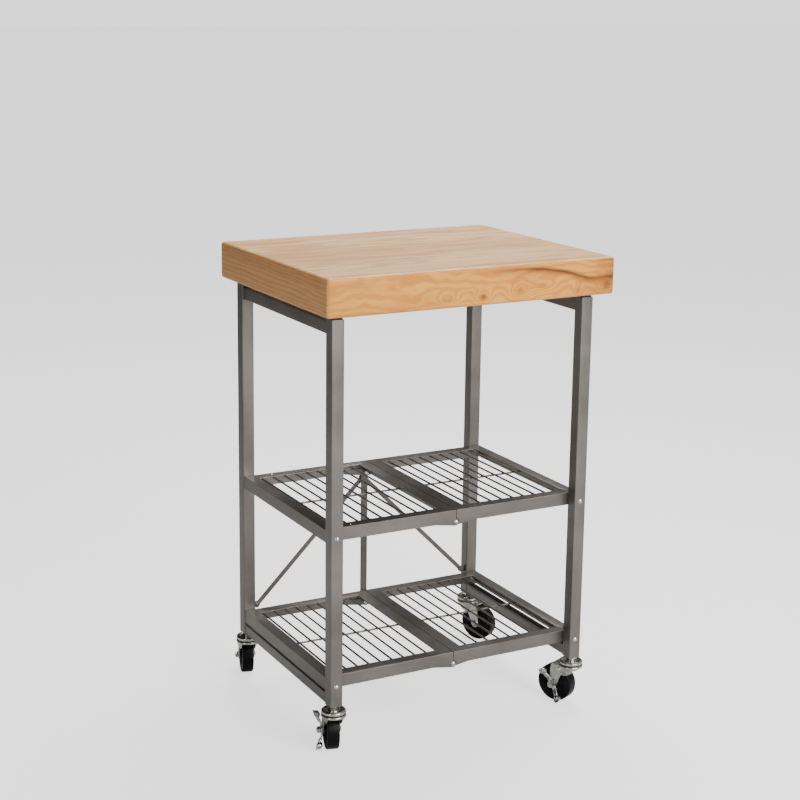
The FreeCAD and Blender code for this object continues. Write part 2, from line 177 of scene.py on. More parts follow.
# Soft clouds, as in a rolled or painted surface
def makeCloudiness():
    group, given, out = startGroup(
        "cloudiness",
        [("Vector", "NodeSocketVector", None), ("Patch Scale", "NodeSocketFloat", 20.0)],
        [("Cloud", "NodeSocketFloat"), ("Speck", "NodeSocketFloat")])
    cloud = noise(group, given["Vector"], given["Patch Scale"], 4.0, 0.6, 0.3)
    speck = noise(group, given["Vector"], calc(group, "MULTIPLY", given["Patch Scale"], 35.0), 2.0, 0.6)
    fill(group, out["Cloud"], span(group, cloud, 0.3, 0.7))
    fill(group, out["Speck"], span(group, speck, 0.35, 0.65))
    return group


# Where an edge is lighter, in broken patches: partly wear and partly painted highlight
def makeEdgeWearAndHighlight():
    group, given, out = startGroup(
        "edgeWearAndHighlight",
        [("Vector", "NodeSocketVector", None), ("Reach", "NodeSocketFloat", 0.001),
         ("Break Up", "NodeSocketFloat", 150.0)],
        [("Mask", "NodeSocketFloat")])
    bent = addNode(group, "ShaderNodeBevel", {"Radius": given["Reach"]}, samples=4)
    flat = addNode(group, "ShaderNodeNewGeometry").outputs["Normal"]
    edge = span(group, vectorCalc(group, "DOT_PRODUCT", bent.outputs[0], flat, output="Value"), 0.99, 0.80)
    broken = span(group, noise(group, given["Vector"], given["Break Up"], 3.0, 0.6), 0.35, 0.6)
    fill(group, out["Mask"], calc(group, "MULTIPLY", edge, broken))
    return group


drawnGrain = makeDrawnGrain()
cloudiness = makeCloudiness()
edgeWearAndHighlight = makeEdgeWearAndHighlight()


def startFinish(name):
    finish = bpy.data.materials.new(name)
    finish.use_nodes = True
    tree = finish.node_tree
    shader = tree.nodes["Principled BSDF"]
    coordinates = addNode(tree, "ShaderNodeTexCoord").outputs["Object"]
    return finish, tree, shader, coordinates


def addBump(tree, shader, height, strength, distance):
    bump = addNode(tree, "ShaderNodeBump", {"Height": height, "Strength": strength, "Distance": distance})
    tree.links.new(bump.outputs[0], shader.inputs["Normal"])


def roughnessFrom(tree, mask, look, changes):
    return span(tree, mask, 0.0, 1.0, *(look["roughness"] + change for change in changes))


# What all the metals share
metal = {
    "wearAndHighlightBreakUp": 180.0,
    "grainRoughness": (-0.05, 0.06),
    "cloudRoughness": (-0.04, 0.04),
    "speckHeight": 0.5,
    "bumpDistance": 0.2 * mm,
}


# Rolled, brushed or plated metal
def makeMetal(name, look):
    finish, tree, shader, place = startFinish(name)
    grain = useGroup(tree, drawnGrain, {
        "Vector": place, "Stretch": look["stretch"], "Fineness": look["fineness"]})
    cloud = useGroup(tree, cloudiness, {"Vector": place, "Patch Scale": look["patchScale"]})
    wearAndHighlight = useGroup(tree, edgeWearAndHighlight, {
        "Vector": place, "Reach": look["edgeReach"], "Break Up": metal["wearAndHighlightBreakUp"]})
    body = tint(tree, cloud["Cloud"], look["dark"], look["light"])
    body = lay(tree, grain["Tone"], look["grainShare"], body, look["light"])
    body = lay(tree, cloud["Speck"], look["speckShare"], body, look["dark"])
    # Lighter edges: partly wear and partly a painted highlight along the edge
    body = lay(tree, wearAndHighlight["Mask"], look["wearAndHighlightShare"], body, look["wearAndHighlightTone"])
    tree.links.new(body, shader.inputs["Base Color"])
    rough = roughnessFrom(tree, grain["Tone"], look, metal["grainRoughness"])
    rough = calc(tree, "ADD", rough, span(tree, cloud["Cloud"], 0.0, 1.0, *metal["cloudRoughness"]))
    tree.links.new(rough, shader.inputs["Roughness"])
    shader.inputs["Metallic"].default_value = look["metallic"]
    specks = calc(tree, "MULTIPLY", cloud["Speck"], metal["speckHeight"])
    addBump(tree, shader, calc(tree, "ADD", grain["Height"], specks), look["bump"], metal["bumpDistance"])
    return finish


# The frame's steel, whose grain runs along each part
frameSteel = {
    "dark": (0.155, 0.143, 0.131, 1), "light": (0.245, 0.227, 0.210, 1), "wearAndHighlightTone": (0.36, 0.345, 0.33, 1),
    "fineness": 1500.0, "patchScale": 9.0, "edgeReach": 0.0012, "grainShare": 0.35, "speckShare": 0.15,
    "wearAndHighlightShare": 0.35, "roughness": 0.36, "metallic": 0.80, "bump": 0.10,
}

# The casters' zinc plating
zincPlate = {
    "fineness": 500.0, "grainShare": 0.25, "speckShare": 0.2, "wearAndHighlightShare": 0.6, "metallic": 1.0, "bump": 0.08,
}

metalLooks = {
    "pewterSteel": {**frameSteel, "stretch": (1.0, 1.0, 0.03)},
    "pewterSteelAcross": {**frameSteel, "stretch": (0.03, 1.0, 1.0)},
    "pewterSteelDeep": {**frameSteel, "stretch": (1.0, 0.03, 1.0)},
    "rodSteel": {"dark": (0.125, 0.113, 0.104, 1), "light": (0.195, 0.178, 0.164, 1),
                 "wearAndHighlightTone": (0.30, 0.29, 0.28, 1), "stretch": (1.0, 0.03, 1.0), "fineness": 2200.0,
                 "patchScale": 25.0, "edgeReach": 0.0008, "grainShare": 0.3, "speckShare": 0.2,
                 "wearAndHighlightShare": 0.2, "roughness": 0.42, "metallic": 0.6, "bump": 0.08},
    "flatBarSteel": {"dark": (0.125, 0.117, 0.110, 1), "light": (0.190, 0.180, 0.170, 1),
                     "wearAndHighlightTone": (0.34, 0.33, 0.32, 1), "stretch": (0.5, 1.0, 0.05), "fineness": 1300.0,
                     "patchScale": 14.0, "edgeReach": 0.0010, "grainShare": 0.35, "speckShare": 0.2,
                     "wearAndHighlightShare": 0.4, "roughness": 0.42, "metallic": 0.8, "bump": 0.10},
    "boltZinc": {"dark": (0.56, 0.57, 0.57, 1), "light": (0.80, 0.81, 0.80, 1),
                 "wearAndHighlightTone": (0.90, 0.90, 0.88, 1), "stretch": (1.0, 1.0, 1.0), "fineness": 900.0,
                 "patchScale": 90.0, "edgeReach": 0.0005, "grainShare": 0.2, "speckShare": 0.15,
                 "wearAndHighlightShare": 0.4, "roughness": 0.24, "metallic": 1.0, "bump": 0.05},
    "casterZinc": {**zincPlate, "dark": (0.34, 0.345, 0.32, 1), "light": (0.80, 0.80, 0.72, 1),
                   "wearAndHighlightTone": (0.95, 0.95, 0.90, 1), "stretch": (1.0, 1.0, 0.4), "patchScale": 60.0,
                   "edgeReach": 0.0010, "roughness": 0.17},
    "leverZinc": {**zincPlate, "dark": (0.34, 0.37, 0.37, 1), "light": (0.62, 0.66, 0.66, 1),
                  "wearAndHighlightTone": (0.80, 0.83, 0.82, 1), "stretch": (0.4, 1.0, 1.0), "patchScale": 45.0,
                  "edgeReach": 0.0012, "roughness": 0.25},
}


# What all the blacks share
black = {
    "edgeReach": 1.2 * mm,
    "wearAndHighlightBreakUp": 120.0,
    "cloudRoughness": (-0.06, 0.08),
    "shine": 0.13,
    "bumpDistance": 0.2 * mm,
}


# Black rubber and plastic
def makeBlack(name, look):
    finish, tree, shader, place = startFinish(name)
    cloud = useGroup(tree, cloudiness, {"Vector": place, "Patch Scale": look["patchScale"]})
    wearAndHighlight = useGroup(tree, edgeWearAndHighlight, {
        "Vector": place, "Reach": black["edgeReach"], "Break Up": black["wearAndHighlightBreakUp"]})
    body = tint(tree, cloud["Cloud"], look["dark"], look["light"])
    # Lighter edges: partly wear and partly a painted highlight, such as the grey lines at the hub rims
    body = lay(tree, wearAndHighlight["Mask"], look["wearAndHighlightShare"], body, look["wearAndHighlightTone"])
    tree.links.new(body, shader.inputs["Base Color"])
    rough = roughnessFrom(tree, cloud["Cloud"], look, black["cloudRoughness"])
    tree.links.new(rough, shader.inputs["Roughness"])
    shader.inputs["Specular IOR Level"].default_value = black["shine"]
    addBump(tree, shader, cloud["Speck"], look["bump"], black["bumpDistance"])
    return finish


blackLooks = {
    "tyreRubber": {"dark": (0.002, 0.002, 0.0025, 1), "light": (0.006, 0.0055, 0.006, 1),
                   "wearAndHighlightTone": (0.03, 0.03, 0.03, 1), "patchScale": 60.0, "wearAndHighlightShare": 0.3, "roughness": 0.30,
                   "bump": 0.25},
    "hubPlastic": {"dark": (0.003, 0.003, 0.0035, 1), "light": (0.008, 0.0075, 0.0075, 1),
                   "wearAndHighlightTone": (0.09, 0.09, 0.09, 1), "patchScale": 70.0, "wearAndHighlightShare": 0.5, "roughness": 0.30,
                   "bump": 0.15},
    "plugPlastic": {"dark": (0.012, 0.012, 0.012, 1), "light": (0.025, 0.025, 0.024, 1),
                    "wearAndHighlightTone": (0.08, 0.08, 0.08, 1), "patchScale": 60.0, "wearAndHighlightShare": 0.3, "roughness": 0.5,
                    "bump": 0.2},
    "padRubber": {"dark": (0.016, 0.016, 0.016, 1), "light": (0.035, 0.034, 0.033, 1),
                  "wearAndHighlightTone": (0.08, 0.08, 0.08, 1), "patchScale": 60.0, "wearAndHighlightShare": 0.3, "roughness": 0.6,
                  "bump": 0.3},
}

finishes = {name: makeMetal(name, look) for name, look in metalLooks.items()}
finishes.update({name: makeBlack(name, look) for name, look in blackLooks.items()})


# A round swelling in the grain, with its own tall or wide shape
def makeKnotSwell():
    group, given, out = startGroup(
        "knotSwell",
        [("Vector", "NodeSocketVector", None), ("Centre", "NodeSocketVector", (0.0, 0.0, 0.0)),
         ("Size", "NodeSocketVector", (1.0, 1.0, 1.0)), ("Lift", "NodeSocketFloat", 1.0)],
        [("Swell", "NodeSocketFloat"), ("Core", "NodeSocketFloat")])
    away = vectorCalc(group, "SUBTRACT", given["Vector"], given["Centre"])
    sized = vectorCalc(group, "DIVIDE", away, given["Size"])
    length = vectorCalc(group, "LENGTH", sized, output="Value")
    squared = calc(group, "MULTIPLY", length, length)
    swell = calc(group, "EXPONENT", calc(group, "MULTIPLY", squared, -1.0))
    fill(group, out["Swell"], calc(group, "MULTIPLY", swell, given["Lift"]))
    fill(group, out["Core"], span(group, length, 0.15, 0.75, 1.0, 0.0, "SMOOTHSTEP"))
    return group


# Growth lines of one face: a figure that bands follow, with fine fibres and pores
def makeWoodLines():
    group, given, out = startGroup(
        "woodLines",
        [("Vector", "NodeSocketVector", None), ("Figure", "NodeSocketFloat", 0.0),
         ("Fibre Stretch", "NodeSocketVector", (1.0, 1.0, 1.0))],
        [("Bands", "NodeSocketFloat"), ("Fibres", "NodeSocketFloat"), ("Pores", "NodeSocketFloat")])
    fibre = vectorCalc(group, "MULTIPLY", given["Vector"], given["Fibre Stretch"])
    wander = noise(group, fibre, 14.0, 3.0, 0.5)
    phase = calc(group, "ADD", given["Figure"], calc(group, "MULTIPLY", wander, 1.6))
    wave = calc(group, "SINE", calc(group, "MULTIPLY", phase, 2.0 * math.pi))
    fill(group, out["Bands"], span(group, wave, -0.5, 1.0, 0.0, 1.0, "SMOOTHSTEP"))
    fill(group, out["Fibres"], span(group, noise(group, fibre, 160.0, 5.0, 0.65), 0.3, 0.7))
    fill(group, out["Pores"], span(group, noise(group, fibre, 420.0, 2.0, 0.5), 0.60, 0.72))
    return group


block = {
    "edgeRound": 6.0 * mm,
    "edgeSteps": 6,
    "sharpFrom": math.radians(30),
    # Each knot: place along X, height over the floor, width, height, lift and darkness
    "knots": ((16.8, 857.7, 17.0, 13.0, 3.6, 0.85), (97.6, 863.9, 22.0, 15.0, 3.9, 0.45),
              (228.0, 856.2, 9.0, 12.0, 2.0, 0.65), (293.1, 861.5, 15.0, 17.0, 3.4, 0.9),
              (150.0, 868.0, 30.0, 11.0, 2.2, 0.2), (-59.5, 858.9, 20.0, 12.0, 2.8, 0.4)),
    # The dark streak's height over the floor along X
    "streak": ((-305.0, 893.0), (-120.0, 899.0), (55.3, 904.6), (123.5, 904.0), (174.9, 897.9),
               (205.5, 891.7), (236.5, 882.1), (261.5, 877.1), (286.4, 877.3), (312.0, 879.2)),
    "stave": 83.0 * mm,
    "sideBand": 24.0 * mm,
    "bandEdge": 1.0 * mm,
    "streakFadesIn": (30.0 * mm, 130.0 * mm),
    "endShade": 60.0 * mm,
    "tones": {
        "pale": (0.92, 0.415, 0.060, 1), "gold": (0.59, 0.180, 0.016, 1), "brown": (0.10, 0.020, 0.003, 1),
        # The end tones are partly painted light: set lighter to make up for the dim light on the ends
        "litEndPale": (1.0, 0.53, 0.220, 1), "litEndDark": (0.60, 0.250, 0.075, 1),
        # The top's sand is partly painted sheen: paler and less golden than the front's wood, for the
        # washed, lit look of the top
        "rose": (0.58, 0.275, 0.110, 1), "sheenedSand": (1.0, 0.660, 0.350, 1), "umber": (0.24, 0.095, 0.030, 1),
        # The wood's edge tone below is a painted highlight for its rounded edges
        "wearAndHighlightTone": (1.0, 0.78, 0.48, 1),
    },
    # How far each mark goes towards its own tone
    "shares": {
        "frontBands": 0.54, "frontFibres": 0.30, "knotCores": 0.80, "streak": 0.92, "vein": 0.75,
        "patches": 0.45, "endShade": 0.75, "endBands": 0.45, "endFibres": 0.35, "endBand": 0.30,
        "topBands": 0.55, "topFibres": 0.36, "staves": 0.42, "seams": 0.35, "pores": 0.18, "clouds": 0.10,
        "wearAndHighlight": 0.50,
    },
}


# Front and back: lines that bend round the knots, under one dark streak
def makeFrontTone(tree, place, parts, woodLines):
    low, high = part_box("worktop")
    size = high - low
    tones, shares = block["tones"], block["shares"]
    knotSwell = makeKnotSwell()
    warp = noise(tree, stretched(tree, place, (7.0, 7.0, 16.0)), 1.0, 3.0, 0.5)
    figure = calc(tree, "ADD", calc(tree, "MULTIPLY", parts[2], 62.0), calc(tree, "MULTIPLY", warp, 5.5))
    cores = 0.0
    for alongX, height, wide, tall, lift, dark in block["knots"]:
        knot = useGroup(tree, knotSwell, {
            "Vector": place, "Centre": (alongX * mm, low.y, height * mm),
            "Size": (wide * mm, 1.0, tall * mm), "Lift": lift})
        figure = calc(tree, "ADD", figure, knot["Swell"])
        cores = calc(tree, "MAXIMUM", cores, calc(tree, "MULTIPLY", knot["Core"], dark))
    lines = useGroup(tree, woodLines, {
        "Vector": place, "Figure": figure, "Fibre Stretch": (0.12, 1.0, 1.0)})
    tone = lay(tree, lines["Bands"], shares["frontBands"], tones["pale"], tones["gold"])
    tone = lay(tree, lines["Fibres"], shares["frontFibres"], tone, tones["gold"])
    tone = lay(tree, cores, shares["knotCores"], tone, tones["brown"])

    curve = addNode(tree, "ShaderNodeFloatCurve", {1: span(tree, parts[0], low.x, high.x)})
    points = curve.mapping.curves[0].points
    streak = [((x * mm - low.x) / size.x, (z * mm - low.z) / size.z) for x, z in block["streak"]]
    while len(points) < len(streak):
        points.new(0.5, 0.5)
    for point, (x, z) in zip(points, streak):
        point.location = (min(max(x, 0.0), 1.0), z)
    curve.mapping.update()
    fromStreak = calc(tree, "SUBTRACT", span(tree, parts[2], low.z, high.z), curve.outputs[0])
    under = span(tree, fromStreak, -0.20, -0.01, 0.0, 1.0, "SMOOTHSTEP")
    above = span(tree, fromStreak, 0.02, -0.005, 0.0, 1.0, "SMOOTHSTEP")
    started = span(tree, parts[0], *block["streakFadesIn"], 0.08, 1.0)
    stroke = calc(tree, "MULTIPLY", calc(tree, "MULTIPLY", under, above), started)
    stroke = calc(tree, "MULTIPLY", stroke, span(tree, lines["Fibres"], 0.0, 1.0, 0.55, 1.0))
    tone = lay(tree, stroke, shares["streak"], tone, tones["brown"])
    vein = span(tree, calc(tree, "ABSOLUTE", fromStreak), 0.085, 0.0, 0.0, 1.0, "SMOOTHSTEP")
    tone = lay(tree, calc(tree, "MULTIPLY", vein, started), shares["vein"], tone, tones["brown"])

    patches = noise(tree, stretched(tree, place, (9.0, 9.0, 22.0)), 1.0, 3.0, 0.5)
    tone = lay(tree, span(tree, patches, 0.42, 0.68), shares["patches"], tone, tones["gold"])
    shade = span(tree, parts[0], high.x - block["endShade"], high.x, 0.0, shares["endShade"], "SMOOTHSTEP")
    return lay(tree, shade, lines["Fibres"], tone, tones["brown"]), lines


# Ends: long dull lines from front to back, in two bands, in tones set lighter as painted light for the dimly
# lit ends
def makeEndTone(tree, place, parts, woodLines):
    tones, shares = block["tones"], block["shares"]
    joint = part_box("worktop")[1].z - block["sideBand"]
    band = span(tree, parts[2], joint - block["bandEdge"], joint + block["bandEdge"])
    warp = noise(tree, stretched(tree, place, (5.0, 3.0, 20.0)), 1.0, 3.0, 0.5)
    figure = calc(tree, "ADD", calc(tree, "MULTIPLY", parts[2], 120.0), calc(tree, "MULTIPLY", warp, 4.0))
    figure = calc(tree, "ADD", figure, calc(tree, "MULTIPLY", band, 2.7))
    lines = useGroup(tree, woodLines, {
        "Vector": place, "Figure": figure, "Fibre Stretch": (1.0, 0.12, 1.0)})
    tone = lay(tree, lines["Bands"], shares["endBands"], tones["litEndPale"], tones["litEndDark"])
    tone = lay(tree, lines["Fibres"], shares["endFibres"], tone, tones["litEndDark"])
    return lay(tree, band, shares["endBand"], tone, tones["litEndDark"]), lines


# Top: staves along X, each a little different; its pale sand tone is partly painted sheen and top light
def makeTopTone(tree, place, parts, woodLines):
    tones, shares = block["tones"], block["shares"]
    inward = calc(tree, "SUBTRACT", parts[1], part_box("worktop")[0].y)
    staves = calc(tree, "DIVIDE", inward, block["stave"])
    number = calc(tree, "FLOOR", staves)
    lot = addNode(tree, "ShaderNodeTexWhiteNoise", {"W": number}, noise_dimensions="1D").outputs["Value"]
    slide = vector(tree, calc(tree, "MULTIPLY", lot, 3.0), 0.0, lot)
    moved = vectorCalc(tree, "ADD", place, slide)
    warp = noise(tree, stretched(tree, moved, (2.6, 15.0, 6.0)), 1.0, 4.0, 0.55, 0.4)
    figure = calc(tree, "ADD", calc(tree, "MULTIPLY", parts[1], 16.0), calc(tree, "MULTIPLY", warp, 4.5))
    lines = useGroup(tree, woodLines, {
        "Vector": moved, "Figure": figure, "Fibre Stretch": (0.10, 1.0, 1.0)})
    tone = lay(tree, lines["Bands"], shares["topBands"], tones["sheenedSand"], tones["rose"])
    tone = lay(tree, lines["Fibres"], shares["topFibres"], tone, tones["umber"])
    tone = lay(tree, lot, shares["staves"], tone, tones["rose"])
    across = calc(tree, "FRACT", staves)
    seam = calc(tree, "MAXIMUM", span(tree, across, 0.008, 0.0), span(tree, across, 0.992, 1.0))
    return lay(tree, seam, shares["seams"], tone, tones["umber"]), lines


def makeBlockWood():
    finish, tree, shader, place = startFinish("blockWood")
    tones, shares = block["tones"], block["shares"]
    woodLines = makeWoodLines()
    parts = addNode(tree, "ShaderNodeSeparateXYZ", {0: place}).outputs
    normal = addNode(tree, "ShaderNodeNewGeometry").outputs["Normal"]
    facing = addNode(tree, "ShaderNodeSeparateXYZ", {0: normal}).outputs
    faceUp = span(tree, calc(tree, "ABSOLUTE", facing[2]), 0.55, 0.85)
    faceEnd = span(tree, calc(tree, "ABSOLUTE", facing[0]), 0.5, 0.85)
    frontTone, front = makeFrontTone(tree, place, parts, woodLines)
    endTone, side = makeEndTone(tree, place, parts, woodLines)
    topTone, top = makeTopTone(tree, place, parts, woodLines)

    def byFace(frontPart, endPart, topPart):
        return tint(tree, faceUp, tint(tree, faceEnd, frontPart, endPart), topPart)

    tone = byFace(frontTone, endTone, topTone)
    pores = byFace(front["Pores"], side["Pores"], top["Pores"])
    tone = lay(tree, pores, shares["pores"], tone, tones["brown"])
    cloud = useGroup(tree, cloudiness, {"Vector": place, "Patch Scale": 7.0})
    wearAndHighlight = useGroup(tree, edgeWearAndHighlight, {"Vector": place, "Reach": 0.004, "Break Up": 40.0})
    tone = lay(tree, cloud["Cloud"], shares["clouds"], tone, tones["brown"])
    # Painted highlight: the rounded edges are lightened in colour to stand for the light they catch
    tone = lay(tree, wearAndHighlight["Mask"], shares["wearAndHighlight"], tone, tones["wearAndHighlightTone"])
    tree.links.new(tone, shader.inputs["Base Color"])
    lines = byFace(front["Fibres"], side["Fibres"], top["Fibres"])
    tree.links.new(span(tree, lines, 0.0, 1.0, 0.36, 0.50), shader.inputs["Roughness"])
    shader.inputs["Specular IOR Level"].default_value = 0.35
    addBump(tree, shader, calc(tree, "SUBTRACT", lines, calc(tree, "MULTIPLY", pores, 1.2)), 0.16, 0.0003)
    return finish


finishes["blockWood"] = makeBlockWood()
print("finishes made:", len(finishes))


# A piece from a bmesh, on its body and in the place of the parts it stands for
def addPiece(name, shape, body, finish, standsFor=()):
    mesh = bpy.data.meshes.new(name)
    shape.to_mesh(mesh)
    shape.free()
    return placeMesh(name, mesh, body, finish, standsFor)


def placeMesh(name, mesh, body, finish, standsFor=()):
    piece = bpy.data.objects.new(name, mesh)
    bpy.context.scene.collection.objects.link(piece)
    mesh.materials.clear()
    mesh.materials.append(finishes[finish])
    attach(piece, body)
    if standsFor:
        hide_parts(*standsFor)
    return piece


def bodyOf(node):
    return frame["nodes"][node]["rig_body"]


def smoothByAngle(shape, limit):
    for face in shape.faces:
        face.smooth = True
    for edge in shape.edges:
        edge.smooth = len(edge.link_faces) == 2 and edge.calc_face_angle(math.pi) < limit


# Turns a closed outline, given as distances along an axis and out from it, into a ring
def turned(outline, centre, axis, steps):
    shape = bmesh.new()
    axis = Vector(axis).normalized()
    out = axis.orthogonal().normalized()
    ring = [shape.verts.new(centre + axis * along + out * far) for along, far in outline]
    loop = [shape.edges.new((ring[i], ring[(i + 1) % len(ring)])) for i in range(len(ring))]
    bmesh.ops.spin(shape, geom=loop + ring, cent=centre, axis=axis, angle=2 * math.pi, steps=steps)
    bmesh.ops.remove_doubles(shape, verts=shape.verts, dist=1e-6)
    bmesh.ops.recalc_face_normals(shape, faces=shape.faces)
    smoothByAngle(shape, math.radians(34))
    return shape


# Rounds the corners of an outline in millimetres: each point is (along, far, radius)
def softOutline(corners, steps=5):
    outline = []
    points = [tuple(size * mm for size in corner) for corner in corners]
    count = len(points)
    for index, (along, far, radius) in enumerate(points):
        here = Vector((along, far))
        if radius <= 0:
            outline.append(tuple(here))
            continue
        before = Vector(points[index - 1][:2]) - here
        after = Vector(points[(index + 1) % count][:2]) - here
        turn = before.angle(after)
        reach = min(radius / math.tan(turn / 2), before.length * 0.49, after.length * 0.49)
        start, stop = here + before.normalized() * reach, here + after.normalized() * reach
        for step in range(steps + 1):
            t = step / steps
            point = start * (1 - t) ** 2 + here * 2 * t * (1 - t) + stop * t ** 2
            outline.append(tuple(point))
    return outline


# Sheet and tube parts with softened edges
softParts = {
    "edge": 0.55 * mm,
    "barEdge": 0.45 * mm,
    "casterEdge": 0.35 * mm,
    "steps": 2,
    "sharpFrom": math.radians(38),
    "weldWithin": 0.002 * mm,
    "flatWithin": math.radians(0.4),
}


def softenPart(node, name, finish, edge="edge"):
    shape = bmesh.new()
    shape.from_mesh(frame["nodes"][node].data)
    bmesh.ops.remove_doubles(shape, verts=shape.verts, dist=softParts["weldWithin"])
    flat = softParts["flatWithin"]
    bmesh.ops.dissolve_limit(shape, angle_limit=flat, verts=shape.verts, edges=shape.edges)
    smoothByAngle(shape, softParts["sharpFrom"])
    piece = addPiece(name, shape, bodyOf(node), finish, [node])
    bevel = piece.modifiers.new("eased edges", "BEVEL")
    bevel.width = softParts[edge]
    bevel.segments = softParts["steps"]
    bevel.limit_method = "ANGLE"
    bevel.angle_limit = softParts["sharpFrom"]
    bevel.use_clamp_overlap = False
    bevel.miter_outer = "MITER_ARC"
    bevel.harden_normals = True


for side in sides:
    for end in ends:
        name = "leg.%s.%s" % (end, side)
        softenPart("leg_%s_%s" % (end, side), name, "pewterSteel")
    for level in ("top", "low"):
        name = "%s.rail.%s" % (level, side)
        softenPart("%s_rail_%s" % (level, side), name, "pewterSteelDeep")
    for shelf in ("mid", "low"):
        name = "shelfRim.%s.%s" % (shelf, side)
        softenPart("%s_frame_%s" % (shelf, side), name, "pewterSteelAcross")
    softenPart("stay_" + side, "rearStay." + side, "flatBarSteel", "barEdge")
    softenPart("stay_lug_" + side, "stayLug." + side, "flatBarSteel", "barEdge")
softenPart("centre_link", "centreLink", "flatBarSteel", "barEdge")
for place in places:
    softenPart("fork_" + place, "casterFork." + place, "casterZinc", "casterEdge")
for place in places[:2]:
    softenPart("lever_" + place, "brakeLever." + place, "leverZinc", "casterEdge")
print("softened steel parts made")


def makeBlock():
    low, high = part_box("worktop")
    shape = bmesh.new()
    bmesh.ops.create_cube(shape, size=1.0)
    bmesh.ops.scale(shape, vec=high - low, verts=shape.verts)
    bmesh.ops.translate(shape, vec=(low + high) / 2, verts=shape.verts)
    bmesh.ops.bevel(shape, geom=shape.edges[:], offset=block["edgeRound"], segments=block["edgeSteps"],
                    profile=0.5, affect="EDGES")
    smoothByAngle(shape, block["sharpFrom"])
    piece = addPiece("woodBlock", shape, "top", "blockWood", ["worktop"])
    weighted = piece.modifiers.new("flat faces stay flat", "WEIGHTED_NORMAL")
    weighted.keep_sharp = True


makeBlock()
print("wood block made")


def startGrowth(name, inputs):
    tree = bpy.data.node_groups.new(name, "GeometryNodeTree")
    addInputs(tree, inputs)
    tree.interface.new_socket("Geometry", in_out="OUTPUT", socket_type="NodeSocketGeometry")
    return tree, tree.nodes.new("NodeGroupInput").outputs, tree.nodes.new("NodeGroupOutput").inputs


# Joins the parts, makes them real and gives them their finish
def endGrowth(tree, parts, finish, out):
    joined = tree.nodes.new("GeometryNodeJoinGeometry")
    for part in parts:
        tree.links.new(part, joined.inputs[0])
    real = addNode(tree, "GeometryNodeRealizeInstances", {0: joined.outputs[0]})
    smooth = addNode(tree, "GeometryNodeSetShadeSmooth", {0: real.outputs[0]})
    coated = addNode(tree, "GeometryNodeSetMaterial", {"Geometry": smooth.outputs[0], "Material": finish})
    tree.links.new(coated.outputs[0], out["Geometry"])


def repeatAt(tree, points, shape, scale=None):
    sockets = {"Points": points, "Instance": shape}
    if scale is not None:
        sockets["Scale"] = scale
    return addNode(tree, "GeometryNodeInstanceOnPoints", sockets).outputs[0]


def weldBlob(tree, radius):
    return addNode(tree, "GeometryNodeMeshIcoSphere", {"Radius": radius, "Subdivisions": 2}).outputs[0]


def randomSize(tree, low, high, seed):
    made = addNode(tree, "FunctionNodeRandomValue", {0: low, 1: high, 8: seed}, data_type="FLOAT_VECTOR")
    return made.outputs[0]


# Puts a tree on a carrier, keeps what it grows as a plain mesh and drops the carrier
def growPiece(name, tree, values, body, standsFor=(), path=None):
    carrier = bpy.data.objects.new(name + "Carrier", path or bpy.data.meshes.new(name + "Path"))
    bpy.context.scene.collection.objects.link(carrier)
    growth = carrier.modifiers.new("growth", "NODES")
    growth.node_group = tree
    for item in tree.interface.items_tree:
        if item.in_out == "INPUT" and item.name in values:
            growth[item.identifier] = values[item.name]
    graph = bpy.context.evaluated_depsgraph_get()
    mesh = bpy.data.meshes.new_from_object(carrier.evaluated_get(graph))
    carrier.modifiers.remove(growth)
    bpy.data.objects.remove(carrier)
    mesh.name = name
    placeMesh(name, mesh, body, values["Finish"].name, standsFor)


shelfGrid = {
    "rods": 9,
    "pitch": 25.1 * mm,
    "firstRod": 45.5 * mm,
    "rodRadius": 2.0 * mm,
    "wireRadius": 2.0 * mm,
    "wireDrop": 3.7 * mm,
    "beadRadius": 2.5 * mm,
    "barFacets": 16,
    # Smallest and largest weld blobs, along X, Y and Z
    "rimBlobs": ((0.95, 0.5, 0.75), (1.3, 0.8, 0.95)),
    "wireBlobs": ((0.8, 1.1, 0.55), (1.0, 1.5, 0.75)),
    "seed": 7,
}


